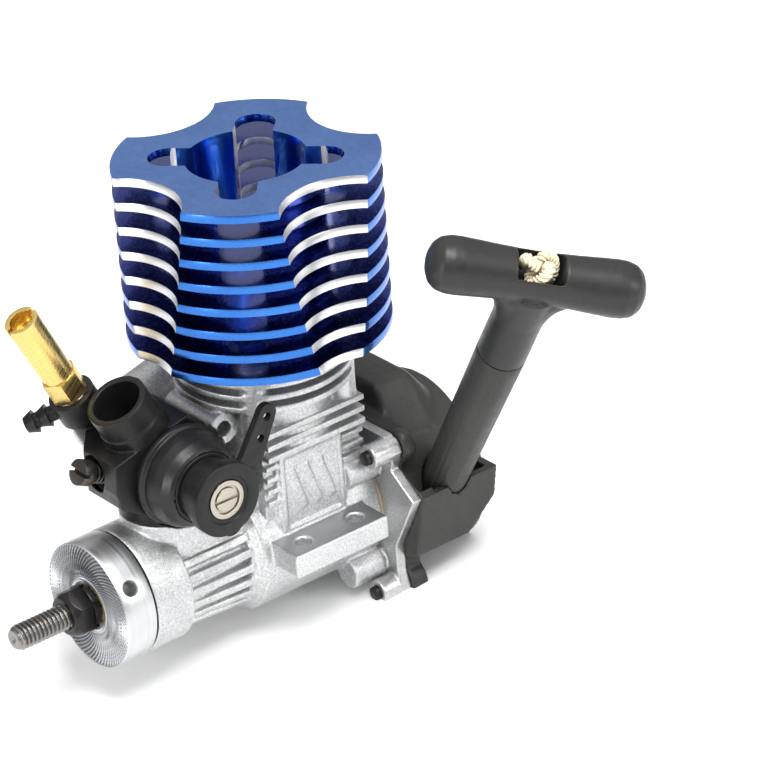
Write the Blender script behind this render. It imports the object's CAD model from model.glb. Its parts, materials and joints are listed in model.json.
import json
import math

import bmesh
import bpy
import numpy as np
from mathutils import Matrix, Vector


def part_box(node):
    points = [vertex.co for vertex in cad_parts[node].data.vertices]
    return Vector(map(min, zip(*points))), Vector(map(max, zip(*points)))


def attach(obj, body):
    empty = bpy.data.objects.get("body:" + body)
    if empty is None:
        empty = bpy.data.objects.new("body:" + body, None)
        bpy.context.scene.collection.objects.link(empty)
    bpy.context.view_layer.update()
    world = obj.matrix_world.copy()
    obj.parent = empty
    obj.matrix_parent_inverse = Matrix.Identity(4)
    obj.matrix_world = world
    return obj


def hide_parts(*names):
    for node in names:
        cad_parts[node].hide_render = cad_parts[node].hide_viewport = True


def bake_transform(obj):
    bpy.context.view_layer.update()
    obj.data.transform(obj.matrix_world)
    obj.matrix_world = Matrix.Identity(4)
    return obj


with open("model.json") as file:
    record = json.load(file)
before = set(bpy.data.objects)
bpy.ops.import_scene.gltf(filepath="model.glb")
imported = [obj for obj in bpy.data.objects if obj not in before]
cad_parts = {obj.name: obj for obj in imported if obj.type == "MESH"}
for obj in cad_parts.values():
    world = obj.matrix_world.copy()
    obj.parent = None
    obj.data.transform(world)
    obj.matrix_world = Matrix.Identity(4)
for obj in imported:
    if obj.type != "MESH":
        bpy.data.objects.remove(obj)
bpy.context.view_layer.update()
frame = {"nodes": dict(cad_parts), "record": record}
MM = 0.001
LEVEL_FACE = 0.9999  # a face whose normal's z is above this is level

# ------------------------------------------------------------------ camera


CAMERA_PLACE = (0.40941, 0.56787, 0.40157)
CAMERA_AZIMUTH, CAMERA_HEIGHT, CAMERA_ROLL = 142.46, 28.18, -4.04
CAMERA_LENS, SENSOR_WIDTH = 206, 36


def make_camera():
    az, el, roll = (math.radians(v) for v in (CAMERA_AZIMUTH, CAMERA_HEIGHT, CAMERA_ROLL))
    back = Vector((math.sin(az) * math.cos(el), -math.cos(az) * math.cos(el), math.sin(el)))
    right = Vector((math.cos(az), math.sin(az), 0))
    up = back.cross(right)
    rolled_right = math.cos(roll) * right + math.sin(roll) * up
    rolled_up = -math.sin(roll) * right + math.cos(roll) * up
    cam = bpy.data.cameras.new("camera")
    cam.sensor_width = SENSOR_WIDTH
    cam.lens = CAMERA_LENS
    cam.clip_start, cam.clip_end = 0.01, 10
    obj = bpy.data.objects.new("camera", cam)
    m = Matrix((rolled_right, rolled_up, back)).transposed().to_4x4()
    m.translation = Vector(CAMERA_PLACE)
    obj.matrix_world = m
    bpy.context.collection.objects.link(obj)
    bpy.context.scene.camera = obj


make_camera()

# ------------------------------------------------------------------ materials


class Nodes:
    """A material's node tree, with short calls for the nodes used here."""

    def __init__(self, name):
        self.mat = bpy.data.materials.new(name)
        self.mat.use_nodes = True
        self.tree = self.mat.node_tree
        self.tree.nodes.clear()
        self.out = self.new("ShaderNodeOutputMaterial")
        self.bsdf = self.new("ShaderNodeBsdfPrincipled")
        self.link(self.bsdf, "BSDF", self.out, "Surface")
        self.coord = self.new("ShaderNodeTexCoord")

    def new(self, kind, **props):
        n = self.tree.nodes.new(kind)
        for k, v in props.items():
            setattr(n, k, v)
        return n

    def link(self, a, out, b, inp):
        self.tree.links.new(a.outputs[out], b.inputs[inp])

    def noise(self, scale, detail=3, rough=0.55, stretch=None):
        n = self.new("ShaderNodeTexNoise")
        n.inputs["Scale"].default_value = scale
        n.inputs["Detail"].default_value = detail
        n.inputs["Roughness"].default_value = rough
        if stretch:
            m = self.new("ShaderNodeMapping")
            m.inputs["Scale"].default_value = stretch
            self.link(self.coord, "Object", m, "Vector")
            self.link(m, "Vector", n, "Vector")
        else:
            self.link(self.coord, "Object", n, "Vector")
        return n, "Fac"

    def ramp(self, src, low, high, a, b):
        """Maps a value from low..high to the colours or grey values a..b."""
        r = self.new("ShaderNodeValToRGB")
        e = r.color_ramp.elements
        e[0].position, e[1].position = low, high
        for el, v in zip(e, (a, b)):
            el.color = (v, v, v, 1) if isinstance(v, (int, float)) else (*v, 1)
        self.link(src[0], src[1], r, "Fac")
        return r, "Color"

    def math(self, op, a, b):
        n = self.new("ShaderNodeMath", operation=op)
        for i, v in enumerate((a, b)):
            if isinstance(v, (int, float)):
                n.inputs[i].default_value = v
            else:
                self.link(v[0], v[1], n, i)
        return n, "Value"

    def mix(self, fac, a, b):
        n = self.new("ShaderNodeMix", data_type="RGBA")
        if isinstance(fac, (int, float)):
            n.inputs[0].default_value = fac
        else:
            self.link(fac[0], fac[1], n, 0)
        for i, v in ((6, a), (7, b)):
            if isinstance(v, tuple) and isinstance(v[0], (int, float)):
                n.inputs[i].default_value = (*v, 1)
            else:
                self.link(v[0], v[1], n, i)
        return n, 2

    def edge(self, low, high):
        """1 on worn outer edges, from the mesh's pointiness."""
        g = self.new("ShaderNodeNewGeometry")
        return self.ramp((g, "Pointiness"), low, high, 0.0, 1.0)

    def set(self, **values):
        for k, v in values.items():
            sock = self.bsdf.inputs[k.replace("_", " ")]
            if isinstance(v, tuple):
                self.link(v[0], v[1], self.bsdf, k.replace("_", " "))
            else:
                sock.default_value = v

    def bump(self, *layers):
        """Layers are (height, strength, distance in mm)."""
        last = None
        for src, strength, dist in layers:
            b = self.new("ShaderNodeBump")
            b.inputs["Strength"].default_value = strength
            b.inputs["Distance"].default_value = dist * MM
            self.link(src[0], src[1], b, "Height")
            if last:
                self.link(last, "Normal", b, "Normal")
            last = b
        self.link(last, "Normal", self.bsdf, "Normal")


def cast_metal(name, dark, light, rough=(0.38, 0.55), grain=1.0):
    n = Nodes(name)
    fine = n.noise(2600, 2, 0.6)
    mid = n.noise(520, 3, 0.6)
    broad = n.noise(60, 3, 0.5)
    col = n.ramp(broad, 0.3, 0.7, dark, light)
    speck = n.ramp(fine, 0.3, 0.72, tuple(c * 0.5 for c in dark), tuple(c * 1.15 for c in light))
    col = n.mix(0.5, col, speck)
    col = n.mix(n.math("MULTIPLY", n.edge(0.515, 0.58), 0.45), col, (0.8, 0.8, 0.8))
    n.set(Base_Color=col, Metallic=0.9, Roughness=n.ramp(mid, 0.3, 0.7, rough[0], rough[1]))
    n.bump((fine, 0.5 * grain, 0.09), (mid, 0.45 * grain, 0.10))
    return n.mat


def machined(name, base, rough, axis="X", centre=(0, 0, 0), rings=2600, relief=0.25):
    """Turned metal: fine rings round an axis, with a little variation."""
    n = Nodes(name)
    m = n.new("ShaderNodeMapping")
    m.inputs["Location"].default_value = tuple(-c for c in centre)
    n.link(n.coord, "Object", m, "Vector")
    s = n.new("ShaderNodeVectorMath", operation="MULTIPLY")
    s.inputs[1].default_value = {"X": (0, 1, 1), "Y": (1, 0, 1), "Z": (1, 1, 0)}[axis]
    n.link(m, "Vector", s, 0)
    ln = n.new("ShaderNodeVectorMath", operation="LENGTH")
    n.link(s, "Vector", ln, 0)
    rad = (ln, "Value")
    ax = n.new("ShaderNodeVectorMath", operation="DOT_PRODUCT")
    ax.inputs[1].default_value = {"X": (1, 0, 0), "Y": (0, 1, 0), "Z": (0, 0, 1)}[axis]
    n.link(m, "Vector", ax, 0)
    both = n.math("ADD", rad, (ax, "Value"))
    ring = n.new("ShaderNodeTexNoise", noise_dimensions="1D")
    ring.inputs["Scale"].default_value = rings
    ring.inputs["Detail"].default_value = 2
    n.link(both[0], both[1], ring, "W")
    broad = n.noise(120, 3)
    ring_tint = n.ramp((ring, "Fac"), 0.3, 0.7, tuple(c * 0.8 for c in base), base)
    low, high = tuple(c * 0.85 for c in base), tuple(min(1, c * 1.06) for c in base)
    col = n.mix(0.5, ring_tint, n.ramp(broad, 0.3, 0.7, low, high))
    n.set(Base_Color=col, Metallic=1.0, Roughness=n.ramp((ring, "Fac"), 0.3, 0.7, rough[0], rough[1]))
    n.bump(((ring, "Fac"), relief, 0.03), (n.noise(1500, 2), 0.08, 0.03))
    return n.mat


def plastic(name, dark, light, rough, grain=1.0, wear=0.25, worn=(0.2, 0.2, 0.19), spec=0.5):
    n = Nodes(name)
    fine = n.noise(3200, 2, 0.6)
    mid = n.noise(700, 3, 0.6)
    broad = n.noise(45, 3)
    col = n.ramp(broad, 0.3, 0.7, dark, light)
    col = n.mix(0.3, col, n.ramp(fine, 0.35, 0.75, dark, tuple(min(1, c * 1.7) for c in light)))
    if wear:
        col = n.mix(n.math("MULTIPLY", n.edge(0.53, 0.62), wear), col, worn)
    n.set(Base_Color=col, Roughness=n.ramp(mid, 0.3, 0.7, rough[0], rough[1]), Specular_IOR_Level=spec)
    n.bump((fine, 0.35 * grain, 0.06), (mid, 0.2 * grain, 0.06))
    return n.mat


def anodised(name, dark, light, rough, grain, metallic=1.0, coat=0.0):
    n = Nodes(name)
    fine = n.noise(2400, 2, 0.6)
    broad = n.noise(70, 3)
    brushed = n.noise(900, 2, 0.5, stretch=(1, 1, 30))
    col = n.ramp(broad, 0.3, 0.7, dark, light)
    col = n.mix(0.25, col, n.ramp(fine, 0.3, 0.7, dark, light))
    n.set(Base_Color=col, Metallic=metallic, Roughness=n.ramp(brushed, 0.3, 0.7, rough[0], rough[1]))
    if coat:
        n.set(Coat_Weight=coat, Coat_Roughness=0.12)
    n.bump((fine, grain, 0.02), (brushed, 0.15, 0.02))
    return n.mat


def rope_material(name):
    n = Nodes(name)
    fine = n.noise(5200, 3, 0.7)
    broad = n.noise(420, 3)
    col = n.ramp(broad, 0.3, 0.7, (0.62, 0.53, 0.33), (0.86, 0.79, 0.58))
    col = n.mix(0.35, col, n.ramp(fine, 0.35, 0.7, (0.45, 0.37, 0.2), (0.93, 0.88, 0.7)))
    n.set(Base_Color=col, Roughness=0.85, Sheen_Weight=0.35, Sheen_Roughness=0.5)
    n.bump((fine, 0.6, 0.12))
    return n.mat


MAT = {
    "cast_aluminium": cast_metal("cast_aluminium", (0.46, 0.465, 0.47), (0.68, 0.685, 0.69), grain=1.5),
    "lug_machined": machined("lug_machined", (0.40, 0.40, 0.41), (0.3, 0.42), axis="Y", rings=1500),
    "plate_aluminium": cast_metal("plate_aluminium", (0.48, 0.485, 0.49), (0.62, 0.62, 0.62),
                                  (0.3, 0.42), 0.5),
    "blue_top": anodised("blue_top", (0.12, 0.23, 0.54), (0.16, 0.29, 0.64), (0.38, 0.48), 0.5),
    "blue_rim": anodised("blue_rim", (0.02, 0.12, 0.43), (0.035, 0.17, 0.53), (0.22, 0.32), 0.3, coat=0.3),
    "blue_bowl": anodised("blue_bowl", (0.01, 0.09, 0.46), (0.02, 0.14, 0.60), (0.16, 0.24), 0.2, coat=0.5),
    "blue_dark": anodised("blue_dark", (0.01, 0.032, 0.24), (0.016, 0.055, 0.34), (0.2, 0.3), 0.3, coat=0.9),
    "bare_cut": anodised("bare_cut", (0.70, 0.70, 0.72), (0.82, 0.82, 0.83), (0.3, 0.4), 0.3),
    "matte_cut": anodised("matte_cut", (0.55, 0.55, 0.57), (0.7, 0.7, 0.71), (0.42, 0.52), 0.5),
    "machined_aluminium": machined("machined_aluminium", (0.56, 0.565, 0.575), (0.24, 0.36)),
    "serrated_face": machined("serrated_face", (0.50, 0.51, 0.53), (0.3, 0.4), rings=1200),
    "serration_valley": machined("serration_valley", (0.19, 0.195, 0.21), (0.3, 0.42), rings=1200),
    "washer_side": machined("washer_side", (0.62, 0.625, 0.63), (0.34, 0.44), rings=900, relief=0.1),
    "steel": machined("steel", (0.42, 0.42, 0.43), (0.24, 0.36)),
    "thread_steel": machined("thread_steel", (0.26, 0.25, 0.24), (0.24, 0.34)),
    "chromed_liner": machined("chromed_liner", (0.66, 0.67, 0.68), (0.1, 0.18), axis="Z"),
    "black_steel": anodised("black_steel", (0.014, 0.013, 0.013), (0.03, 0.028, 0.027), (0.28, 0.4),
                            0.5, 0.7),
    "dark_steel": anodised("dark_steel", (0.06, 0.055, 0.05), (0.11, 0.10, 0.09), (0.3, 0.4), 0.5, 0.85),
    "bronze": machined("bronze", (0.5, 0.3, 0.14), (0.3, 0.45)),
    "copper": machined("copper", (0.75, 0.36, 0.2), (0.28, 0.4), axis="Z"),
    "brass": machined("brass", (0.80, 0.58, 0.20), (0.24, 0.36), axis="Z", rings=1800, relief=0.1),
    "pale_brass": machined("pale_brass", (0.44, 0.41, 0.35), (0.26, 0.38), "Y", (0.0245, 0, 0.0222), 2400),
    "gasket_paper": plastic("gasket_paper", (0.32, 0.25, 0.16), (0.45, 0.36, 0.24), (0.7, 0.85)),
    "moulded_plastic": plastic("moulded_plastic", (0.006, 0.0062, 0.006), (0.012, 0.0122, 0.0117),
                               (0.32, 0.45), 0.9, 0.1, (0.06, 0.06, 0.058), 0.25),
    "starter_plastic": plastic("starter_plastic", (0.021, 0.022, 0.020), (0.032, 0.0335, 0.0305),
                               (0.36, 0.5), 1.0, 0.12, (0.1, 0.1, 0.095), 0.3),
    "handle_plastic": plastic("handle_plastic", (0.014, 0.0145, 0.014), (0.023, 0.0238, 0.0225), (0.32, 0.44),
                              1.1, 0.0, spec=0.3),
    "boot_rubber": plastic("boot_rubber", (0.008, 0.008, 0.008), (0.014, 0.014, 0.0138), (0.3, 0.42),
                           0.6, 0.0, spec=0.3),
    "rope": rope_material("rope"),
}
MAT["blue_anodised"] = MAT["blue_rim"]

# ------------------------------------------------------------------ mesh helpers

BODY = {n: b for b, ns in frame["record"]["behaviour"]["bodies"].items() for n in ns}
SLOT = {p["node"]: p["material_slot"] for p in frame["record"]["subparts"]}


def link_mesh(name, bm):
    me = bpy.data.meshes.new(name)
    bm.to_mesh(me)
    bm.free()
    obj = bpy.data.objects.new(name, me)
    bpy.context.collection.objects.link(obj)
    return obj


def from_arrays(name, verts, faces):
    me = bpy.data.meshes.new(name)
    me.from_pydata([tuple(v) for v in verts], [], [tuple(f) for f in faces])
    me.update()
    obj = bpy.data.objects.new(name, me)
    bpy.context.collection.objects.link(obj)
    return obj


def turned(steps):
    """The angles of one turn, in equal steps."""
    return [2 * math.pi * k / steps for k in range(steps)]


def node_bmesh(node, flat=0.4):
    """The CAD node's mesh, welded, with its flat triangles joined into larger faces."""
    bm = bmesh.new()
    bm.from_mesh(frame["nodes"][node].data)
    bmesh.ops.remove_doubles(bm, verts=bm.verts, dist=2e-6)
    if flat:
        bmesh.ops.dissolve_limit(bm, angle_limit=math.radians(flat), verts=bm.verts, edges=bm.edges)
    return bm


def apply_all(obj):
    """Replaces the object's mesh by its evaluated one, so no modifier is left."""
    dg = bpy.context.evaluated_depsgraph_get()
    me = bpy.data.meshes.new_from_object(obj.evaluated_get(dg))
    obj.modifiers.clear()
    obj.data = me


def smooth(obj, angle=35):
    me = obj.data
    me.shade_smooth()
    me.set_sharp_from_angle(angle=math.radians(angle))


def add(obj, kind, **props):
    m = obj.modifiers.new(kind.lower(), kind)
    for k, v in props.items():
        setattr(m, k, v)
    return m


def bevelled(name, bm, width, segments):
    """A hard-surface piece with small rounded edges."""
    obj = link_mesh(name, bm)
    add(obj, "BEVEL", width=width * MM, segments=segments, limit_method="ANGLE",
        angle_limit=math.radians(30), use_clamp_overlap=True, miter_outer="MITER_ARC")
    apply_all(obj)
    smooth(obj)
    return obj


def remeshed(name, bm, voxel, rounds):
    """A cast or moulded piece: voxel remesh, then smoothing, which rounds every edge and fillet."""
    obj = link_mesh(name, bm)
    add(obj, "REMESH", mode="VOXEL", voxel_size=voxel * MM, use_smooth_shade=True)
    add(obj, "SMOOTH", factor=0.5, iterations=rounds)
    apply_all(obj)
    obj.data.shade_smooth()
    return obj


def soften(obj, weight, rounds):
    """Rounds off the corners of part of a moulded piece; weight(co in mm) is 0 where it stays as it is."""
    me = obj.data
    co = np.empty(len(me.vertices) * 3)
    me.vertices.foreach_get("co", co)
    co = co.reshape(-1, 3)
    ends = np.empty(len(me.edges) * 2, dtype=np.int32)
    me.edges.foreach_get("vertices", ends)
    a, b = ends.reshape(-1, 2).T
    count = np.maximum(np.bincount(ends, minlength=len(co)), 1)[:, None]
    w = 0.5 * np.clip(weight(co / MM), 0, 1)[:, None]
    for _ in range(rounds):
        total = np.stack([np.bincount(a, co[b, k], len(co)) + np.bincount(b, co[a, k], len(co))
                          for k in range(3)], 1)
        co = co + w * (total / count - co)
    me.vertices.foreach_set("co", co.ravel())
    me.update()


def keep_in_box(obj, node):
    """Clamps a replacement to its CAD node's box."""
    low, high = (np.array(c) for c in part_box(node))
    co = np.empty(len(obj.data.vertices) * 3)
    obj.data.vertices.foreach_get("co", co)
    co = np.clip(co.reshape(-1, 3), low, high)
    obj.data.vertices.foreach_set("co", co.ravel())
    obj.data.update()


def paint(obj, *names):
    obj.data.materials.clear()
    for n in names:
        obj.data.materials.append(MAT[n])


def faces_by(obj, choose):
    """choose(centre in mm, normal) gives each face's material number."""
    for p in obj.data.polygons:
        p.material_index = choose(p.center * 1000, p.normal)


def put(obj, node):
    """The piece rides with its node's body and stands for the node."""
    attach(obj, BODY[node])
    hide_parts(node)


def simple(node, material, width, segments=2):
    """The CAD node's own shape with small rounded edges."""
    obj = bevelled(node + "_form", node_bmesh(node), width, segments)
    keep_in_box(obj, node)
    paint(obj, material)
    put(obj, node)


def moulded(name, node, material, voxel, rounds):
    """The CAD node's own shape, cast or moulded."""
    obj = remeshed(name, node_bmesh(node, 0), voxel, rounds)
    keep_in_box(obj, node)
    paint(obj, material)
    put(obj, node)


def lathe(name, profile, x, z, steps, closed=False):
    """Turns [(station, radius)] in mm about an axis along Y through x, z."""
    n, verts, faces = len(profile), [], []
    for a in turned(steps):
        for s, r in profile:
            verts.append(((r * math.sin(a) + x) * MM, s * MM, (r * math.cos(a) + z) * MM))
    for i in range(steps):
        j = (i + 1) % steps
        for k in range(n if closed else n - 1):
            m = (k + 1) % n
            faces.append((i * n + k, i * n + m, j * n + m, j * n + k))
    return from_arrays(name, verts, faces)


# ------------------------------------------------------------------ plain CAD nodes

for node, obj in frame["nodes"].items():
    obj.data.materials.clear()
    obj.data.materials.append(MAT[SLOT[node]])

# ------------------------------------------------------------------ crankcase and rear plate


LUG_ROOT_Y, LUG_TOP_Z, LUG_HALF_X = 12.6, 4.6, 10.8
FRONT_FACE_X = 35.5


def crankcase():
    obj = remeshed("crankcase_casting", node_bmesh("crankcase", 0), 0.24, 2)
    soften(obj, lambda c: (np.abs(c[:, 1]) - LUG_ROOT_Y) * (c[:, 2] < LUG_TOP_Z + 1.4), 14)
    keep_in_box(obj, "crankcase")
    paint(obj, "cast_aluminium", "lug_machined", "machined_aluminium")

    def choose(c, n):
        on_lug = abs(c.y) > LUG_ROOT_Y - 0.3 and abs(c.z - LUG_TOP_Z) < 0.6 and abs(c.x) < LUG_HALF_X
        if n.z > 0.9 and on_lug:
            return 1
        if n.x > 0.9 and c.x > FRONT_FACE_X:
            return 2
        return 0
    faces_by(obj, choose)
    put(obj, "crankcase")


crankcase()

moulded("backplate_casting", "backplate", "plate_aluminium", 0.2, 2)

# ------------------------------------------------------------------ cooling head

HEAD_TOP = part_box("cooling_head")[1][2] * 1000
HEAD_R, BOWL_R, CORE_R, WELL_R = 24.0, 11.3, 14.6, 19
SLOT_IN, SLOT_OUT, SLOT_LOW, SLOT_HIGH, SLOT_W = 8.0, 13.8, 66.4, 76.0, 7.2
SCALLOP_R, SCALLOP_X, SCALLOP_LEAN = 13.0, 30.45, math.radians(9.2)


def open_slots():
    """The head's mesh with its bolt slots opened into the bowl at their full width."""
    cut = bmesh.new()
    for k in range(4):
        turn = Matrix.Rotation(math.pi / 2 * k + math.pi / 4, 4, "Z")
        middle = Matrix.Translation(Vector((SLOT_IN + SLOT_OUT, 0, SLOT_LOW + SLOT_HIGH)) * MM / 2)
        size = Matrix.Diagonal(Vector((SLOT_OUT - SLOT_IN, SLOT_W, SLOT_HIGH - SLOT_LOW, 1 / MM)) * MM)
        bmesh.ops.create_cube(cut, size=1, matrix=turn @ middle @ size)
    cutter = link_mesh("slot_cutter", cut)
    whole = link_mesh("head_whole", node_bmesh("cooling_head"))
    add(whole, "BOOLEAN", operation="DIFFERENCE", object=cutter, solver="EXACT")
    apply_all(whole)
    bm = bmesh.new()
    bm.from_mesh(whole.data)
    for spare in (cutter, whole):
        bpy.data.objects.remove(spare)
    return bm


def in_scallop(c):
    """Whether a place, in mm, is on the wall of one of the four leaning scallops."""
    for k in range(4):
        a = math.pi / 2 * k
        x = c.x * math.cos(a) + c.y * math.sin(a)
        y = -c.x * math.sin(a) + c.y * math.cos(a)
        axis_x = SCALLOP_X + (HEAD_TOP - c.z) * math.tan(SCALLOP_LEAN)
        d = math.hypot((x - axis_x) * math.cos(SCALLOP_LEAN), y)
        if x > 14 and abs(d - SCALLOP_R) < 0.12:
            return True
    return False


def head():
    obj = bevelled("cooling_head_form", open_slots(), 0.14, 2)
    for f in obj.data.polygons:
        f.use_smooth = abs(f.normal.z) < LEVEL_FACE
    keep_in_box(obj, "cooling_head")
    paint(obj, "blue_dark", "blue_top", "blue_rim", "blue_bowl", "bare_cut", "matte_cut")

    def choose(c, n):
        r = math.hypot(c.x, c.y)
        if c.z > HEAD_TOP - 0.2 and n.z > 0.35:
            return 1
        if in_scallop(c):
            return 4
        if r > HEAD_R - 0.18 and abs(n.z) < 0.6:
            return 2
        if r < BOWL_R and abs(n.z) < 0.9 and c.z > 44:
            return 3
        core_outside = abs(r - CORE_R) < 0.25 and c.x * n.x + c.y * n.y > 0.8 * r
        if r < WELL_R and abs(n.z) < 0.3 and not core_outside:
            return 3 if c.z > HEAD_TOP - 2 else 5
        return 0
    faces_by(obj, choose)
    put(obj, "cooling_head")


head()

# ------------------------------------------------------------------ nose, nut and drive washer


THREAD_START_X, THREAD_PITCH, THREAD_DEPTH, THREAD_R = 37.4, 0.87, 0.62, 2.45
END_RINGS = ((1.5, 0), (0.75, 0), (0.35, -0.35))  # radius and depth of the nose's dimpled end


def crankshaft():
    bm = node_bmesh("crankshaft", 0)
    cut = [f for f in bm.faces if f.calc_center_median().x > (THREAD_START_X + 0.05) * MM]
    bmesh.ops.delete(bm, geom=cut, context="FACES")
    core = link_mesh("crankshaft_core", bm)
    smooth(core)
    paint(core, "steel")
    put(core, "crankshaft")
    # Helical thread: one turn per pitch, with a chamfered end
    x0, x1 = THREAD_START_X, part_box("crankshaft")[1][0] * 1000
    steps, per_pitch = 64, 14
    cols = int((x1 - x0) / THREAD_PITCH * per_pitch)
    verts, faces = [], []
    for i in range(cols + 1):
        x = x0 + (x1 - x0) * i / cols
        for j in range(steps):
            a = 2 * math.pi * j / steps
            t = ((x - x0) / THREAD_PITCH - j / steps) % 1.0
            crest = min(1.0, max(0.0, (abs(t - 0.5) * 2 - 0.12) / 0.76))
            r = THREAD_R - THREAD_DEPTH * (1 - crest)
            r = min(r, THREAD_R - 0.06 - max(0, x - (x1 - 0.9)) * 0.75)
            verts.append((x * MM, r * math.cos(a) * MM, r * math.sin(a) * MM))
    for i in range(cols):
        for j in range(steps):
            k = (j + 1) % steps
            faces.append((i * steps + j, i * steps + k, (i + 1) * steps + k, (i + 1) * steps + j))
    # Flat end with a small centre dimple
    last = cols * steps
    base = len(verts)
    for r, dx in END_RINGS:
        for a in turned(steps):
            verts.append(((x1 + dx) * MM, r * math.cos(a) * MM, r * math.sin(a) * MM))
    rings = [last, base, base + steps, base + 2 * steps]
    for p, q in zip(rings, rings[1:]):
        for j in range(steps):
            k = (j + 1) % steps
            faces.append((p + j, p + k, q + k, q + j))
    faces.append(tuple(base + 2 * steps + j for j in range(steps)))
    nose = from_arrays("nose_thread", verts, faces)
    smooth(nose, 50)
    paint(nose, "thread_steel")
    put(nose, "crankshaft")


crankshaft()


WASHER_R, TEETH, TOOTH_DEPTH = 11.96, 76, 0.42
TEETH_IN_R, TEETH_OUT_R, TEETH_SWIRL = 5.1, 11.75, 7.5
TOMMY_X, TOMMY_ANGLE = 40.1, math.radians(33.75)


def tooth_depth(a, r):
    """How far the serrated face is cut back at an angle and a radius."""
    if r <= TEETH_IN_R:
        return 0.2
    ease = min(1, (r - TEETH_IN_R) / 0.3)
    swirl = TEETH * a / (2 * math.pi) + TEETH_SWIRL * ((r - TEETH_IN_R) / 6.6) ** 0.8
    return 0.05 + TOOTH_DEPTH * ease * abs((swirl % 1.0) * 2 - 1)


def facing_out(obj, fill=False):
    """Turns every face outwards, and closes open ends where fill is true."""
    bm = bmesh.new()
    bm.from_mesh(obj.data)
    if fill:
        bmesh.ops.holes_fill(bm, edges=[e for e in bm.edges if e.is_boundary])
    bmesh.ops.recalc_face_normals(bm, faces=bm.faces)
    bm.to_mesh(obj.data)
    bm.free()


def drive_washer():
    low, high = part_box("drive_washer")
    x0, x1, big = low[0] * 1000, high[0] * 1000, WASHER_R
    steps = TEETH * 8
    hub = 4.7
    face = [hub + (TEETH_OUT_R - hub) * i / 32 for i in range(33)]
    profile = [(x0, 3.9), (x0, big - 0.35), (x0 + 0.12, big - 0.1), (x0 + 0.35, big)]
    profile += [(x, big) for x in (38.6, 39.2, 39.8, 40.4)]
    profile += [(x1 - 0.5, big), (x1 - 0.25, big - 0.06), (x1 - 0.1, big - 0.14)]
    back = [(x1 - 0.6, 4.4), (x1 - 0.7, 3.8), (x1 - 2.2, 3.78), (x0 + 1.3, 4.4), (x0 + 1.2, 3.9)]
    verts, faces = [], []
    n = len(profile) + len(face) + len(back)
    for a in turned(steps):
        for x, r in profile + [(x1 - tooth_depth(a, r), r) for r in reversed(face)] + back:
            verts.append((x * MM, r * math.cos(a) * MM, r * math.sin(a) * MM))
    for i in range(steps):
        j = (i + 1) % steps
        for k in range(n):
            m = (k + 1) % n
            faces.append((i * n + k, i * n + m, j * n + m, j * n + k))
    obj = from_arrays("drive_washer_form", verts, faces)
    hole = lathe("tommy_hole_cutter", [(7, 1.3), (11.5, 1.3), (12.1, 1.7), (13, 1.7)], TOMMY_X, 0, 40)
    hole.data.transform(Matrix.Rotation(TOMMY_ANGLE, 4, "X"))
    facing_out(hole, fill=True)
    facing_out(obj)
    add(obj, "BOOLEAN", operation="DIFFERENCE", object=hole, solver="EXACT")
    apply_all(obj)
    bpy.data.objects.remove(hole)
    smooth(obj, 40)
    paint(obj, "washer_side", "serrated_face", "serration_valley")

    def choose(c, n):
        if not (c.x > x1 - 0.6 and TEETH_IN_R - 0.1 < math.hypot(c.y, c.z) < TEETH_OUT_R + 0.1):
            return 0
        return 2 if c.x < x1 - 0.27 else 1
    faces_by(obj, choose)
    put(obj, "drive_washer")


drive_washer()
simple("nose_nut", "black_steel", 0.12)
simple("lock_washer", "black_steel", 0.08)

# ------------------------------------------------------------------ carburettor

BARREL_X, BARREL_Z = 24.5, 22.2

moulded("carb_body_moulding", "carb_body", "moulded_plastic", 0.2, 4)
boot = remeshed("throttle_boot_form", node_bmesh("throttle_boot", 0), 0.18, 4)
paint(boot, "boot_rubber")
put(boot, "throttle_boot")
simple("throttle_arm", "moulded_plastic", 0.25, 3)
simple("end_disc", "moulded_plastic", 0.4, 4)
simple("throttle_barrel", "machined_aluminium", 0.1)
# Black sleeve on the barrel's neck, between the boot and the arm
sleeve = lathe("throttle_neck_sleeve", [(13.75, 5.52), (13.75, 5.85), (16.15, 5.85), (16.15, 5.52)],
               BARREL_X, BARREL_Z, 72, closed=True)
smooth(sleeve)
paint(sleeve, "moulded_plastic")
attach(sleeve, "throttle")
simple("low_speed_needle", "pale_brass", 0.12)
simple("idle_stop_screw", "dark_steel", 0.2, 3)
simple("idle_spring", "dark_steel", 0)
simple("fuel_inlet", "moulded_plastic", 0.2, 3)
simple("needle_holder", "brass", 0.12, 3)
simple("high_speed_needle", "brass", 0.15, 3)
simple("inlet_washers", "steel", 0.05)
simple("carb_clamp_bolt", "black_steel", 0.1)

# ------------------------------------------------------------------ starter and handle

shell = remeshed("starter_housing_moulding", node_bmesh("starter_housing", 0), 0.25, 3)
low, high = (corner[2] * 1000 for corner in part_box("starter_housing"))
soften(shell, lambda c: (c[:, 2] - low - 0.62 * (high - low)) / 3, 60)
keep_in_box(shell, "starter_housing")
paint(shell, "starter_plastic")
put(shell, "starter_housing")
simple("rope_tube", "starter_plastic", 0.15)
simple("starter_screws", "black_steel", 0.15)

# The rope leaves the reel at LEAVE and runs along ROPE_DIR
LEAN = math.radians(29.5)
ROPE_DIR = Vector((0, math.sin(LEAN), math.cos(LEAN)))
REEL_R = 12.6
LEAVE = Vector((-26, REEL_R * math.cos(LEAN), -REEL_R * math.sin(LEAN)))


HANDLE_S = 72.4
GRIP_TURN = math.radians(144.8)
ALONG_CRANK = Vector((1, 0, 0))
GRIP = ALONG_CRANK * math.cos(GRIP_TURN) + ROPE_DIR.cross(ALONG_CRANK) * math.sin(GRIP_TURN)
WIDE = ROPE_DIR.cross(GRIP)
STEM_R, STEM_BORE_R = 4.5, 1.8
WEB_START, WEB_RISE, WEB_REACH = -13, 8.8, 4.6


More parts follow.
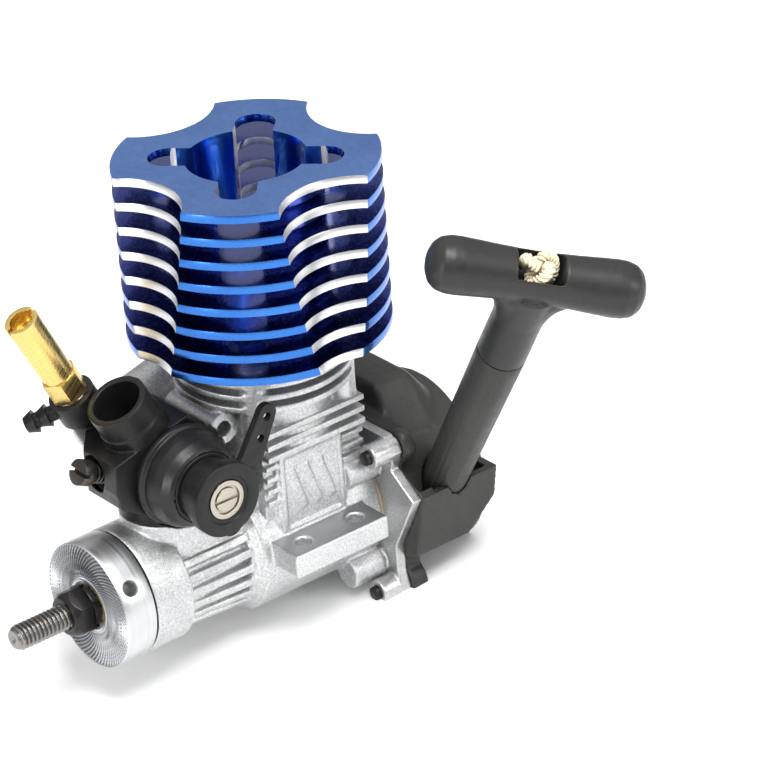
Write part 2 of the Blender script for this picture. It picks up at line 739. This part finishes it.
def pull_handle():
    """The T-handle, with a web that flares from its stem along the grip."""
    bm = node_bmesh("pull_handle", 0)
    rings, steps = [], 40
    for i in range(13):
        s = WEB_START + i * 0.85
        u = min(1, max(0, (s - WEB_START) / WEB_RISE))
        reach = STEM_R + WEB_REACH * (1 - math.sqrt(1 - u * u))
        centre = LEAVE + ROPE_DIR * (HANDLE_S + s)
        for across, along in ((STEM_BORE_R, STEM_BORE_R), (STEM_R, reach)):
            ring = [centre + GRIP * along * math.cos(t) + WIDE * across * math.sin(t) for t in turned(steps)]
            rings.append([bm.verts.new(v * MM) for v in ring])
    inner, outer = rings[0::2], rings[1::2]
    strips = list(zip(outer, outer[1:])) + list(zip(inner[1:], inner))
    strips += [(inner[0], outer[0]), (outer[-1], inner[-1])]
    for a, b in strips:
        for k in range(steps):
            m = (k + 1) % steps
            bm.faces.new((a[k], a[m], b[m], b[k]))
    bmesh.ops.recalc_face_normals(bm, faces=bm.faces)
    obj = remeshed("pull_handle_moulding", bm, 0.25, 8)
    keep_in_box(obj, "pull_handle")
    paint(obj, "handle_plastic")
    put(obj, "pull_handle")


pull_handle()


def tube_on(name, pts, radius, twist, strands=3, sides=10):
    """A laid rope along pts (mm): strands that wind round each other once every twist mm."""
    verts, faces = [], []
    lengths = [0.0]
    for a, b in zip(pts, pts[1:]):
        lengths.append(lengths[-1] + (b - a).length)
    up = Vector((1, 0, 0))
    frames = []
    for i in range(len(pts)):
        t = (pts[min(i + 1, len(pts) - 1)] - pts[max(i - 1, 0)]).normalized()
        up = (up - up.dot(t) * t).normalized()
        frames.append((up.copy(), t.cross(up)))
    rs = radius * 0.52
    for k in range(strands):
        base = len(verts)
        for i, (p, (u, v)) in enumerate(zip(pts, frames)):
            a = 2 * math.pi * (k / strands + lengths[i] / twist)
            c = p + (u * math.cos(a) + v * math.sin(a)) * (radius - rs)
            for b in turned(sides):
                verts.append((c + (u * math.cos(b) + v * math.sin(b)) * rs) * MM)
        for i in range(len(pts) - 1):
            for j in range(sides):
                m = (j + 1) % sides
                faces.append((base + i * sides + j, base + i * sides + m,
                              base + (i + 1) * sides + m, base + (i + 1) * sides + j))
        faces.append(tuple(base + j for j in reversed(range(sides))))
        faces.append(tuple(base + (len(pts) - 1) * sides + j for j in range(sides)))
    obj = from_arrays(name, verts, faces)
    smooth(obj, 60)
    paint(obj, "rope")
    return obj


run = tube_on("starter_rope", [LEAVE + ROPE_DIR * (7.4 + i * 0.5) for i in range(129)], 0.9, 2.2)
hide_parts("rope_run")
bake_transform(run)


def knot():
    """A trefoil of rope in the grip's pocket."""
    centre = LEAVE + ROPE_DIR * (HANDLE_S + 2.3)
    pts = []
    for i in range(141):
        t = 2 * math.pi * i / 140 * 0.94 + 0.2
        x = (math.sin(t) + 2 * math.sin(2 * t)) * 1.0
        y = (math.cos(t) - 2 * math.cos(2 * t)) * 0.82
        z = -math.sin(3 * t) * 1.9
        pts.append(centre + GRIP * x + WIDE * y + ROPE_DIR * z)
    obj = tube_on("rope_knot_form", pts, 1.1, 2.4)
    put(obj, "rope_knot")


knot()

# ------------------------------------------------------------------ screws and small parts

simple("head_bolts", "black_steel", 0.12)
simple("backplate_screws", "black_steel", 0.1)
simple("glow_plug", "steel", 0.1)

# ------------------------------------------------------------------ floor and light


FLOOR_DROP, FLOOR_TILT = 0.0162, math.radians(4.9)
LIGHT_TARGET = Vector((0.01, 0, 0.03))


def stage():
    bpy.ops.mesh.primitive_plane_add(size=4)
    floor = bpy.context.object
    floor.name = "floor"
    floor.rotation_euler = (0, FLOOR_TILT, 0)
    floor.location = (0, 0, -FLOOR_DROP)
    n = Nodes("floor_paper")
    col = n.ramp(n.noise(3, 2), 0.3, 0.7, (0.93, 0.93, 0.93), (0.95, 0.95, 0.95))
    n.set(Base_Color=col, Roughness=0.9, Specular_IOR_Level=0.1)
    floor.data.materials.append(n.mat)

    # Studio surround: bright overhead, darker towards the horizon
    world = bpy.data.worlds.new("studio")
    world.use_nodes = True
    tree = world.node_tree
    coord = tree.nodes.new("ShaderNodeTexCoord")
    split = tree.nodes.new("ShaderNodeSeparateXYZ")
    ramp = tree.nodes.new("ShaderNodeValToRGB")
    ramp.color_ramp.elements[0].position, ramp.color_ramp.elements[1].position = 0.0, 0.95
    ramp.color_ramp.elements[0].color = (0.10, 0.10, 0.10, 1)
    ramp.color_ramp.elements[1].color = (1, 1, 1, 1)
    for place, value in ((0.22, 0.16), (0.42, 0.5), (0.6, 0.75)):
        ramp.color_ramp.elements.new(place).color = (value, value, value, 1)
    tree.links.new(coord.outputs["Generated"], split.inputs[0])
    tree.links.new(split.outputs["Z"], ramp.inputs["Fac"])
    tree.links.new(ramp.outputs["Color"], tree.nodes["Background"].inputs["Color"])
    tree.nodes["Background"].inputs["Strength"].default_value = 1.05
    bpy.context.scene.world = world
    for name, pos, size, power in (
        ("key", (0.10, 0.30, 0.75), (0.4, 0.4), 7.0),
        ("front", (0.80, 0.18, 0.16), (0.12, 0.4), 2.6),
        ("left", (-0.35, 0.7, 0.35), (0.3, 0.3), 2.0),
    ):
        light = bpy.data.lights.new(name, "AREA")
        light.shape = "RECTANGLE"
        light.size, light.size_y = size
        light.energy = power
        o = bpy.data.objects.new(name, light)
        o.location = pos
        o.rotation_euler = (LIGHT_TARGET - Vector(pos)).to_track_quat("-Z", "Y").to_euler()
        o.visible_camera = False
        bpy.context.collection.objects.link(o)


stage()
bpy.context.scene.view_settings.view_transform = "Standard"

bpy.context.view_layer.update()
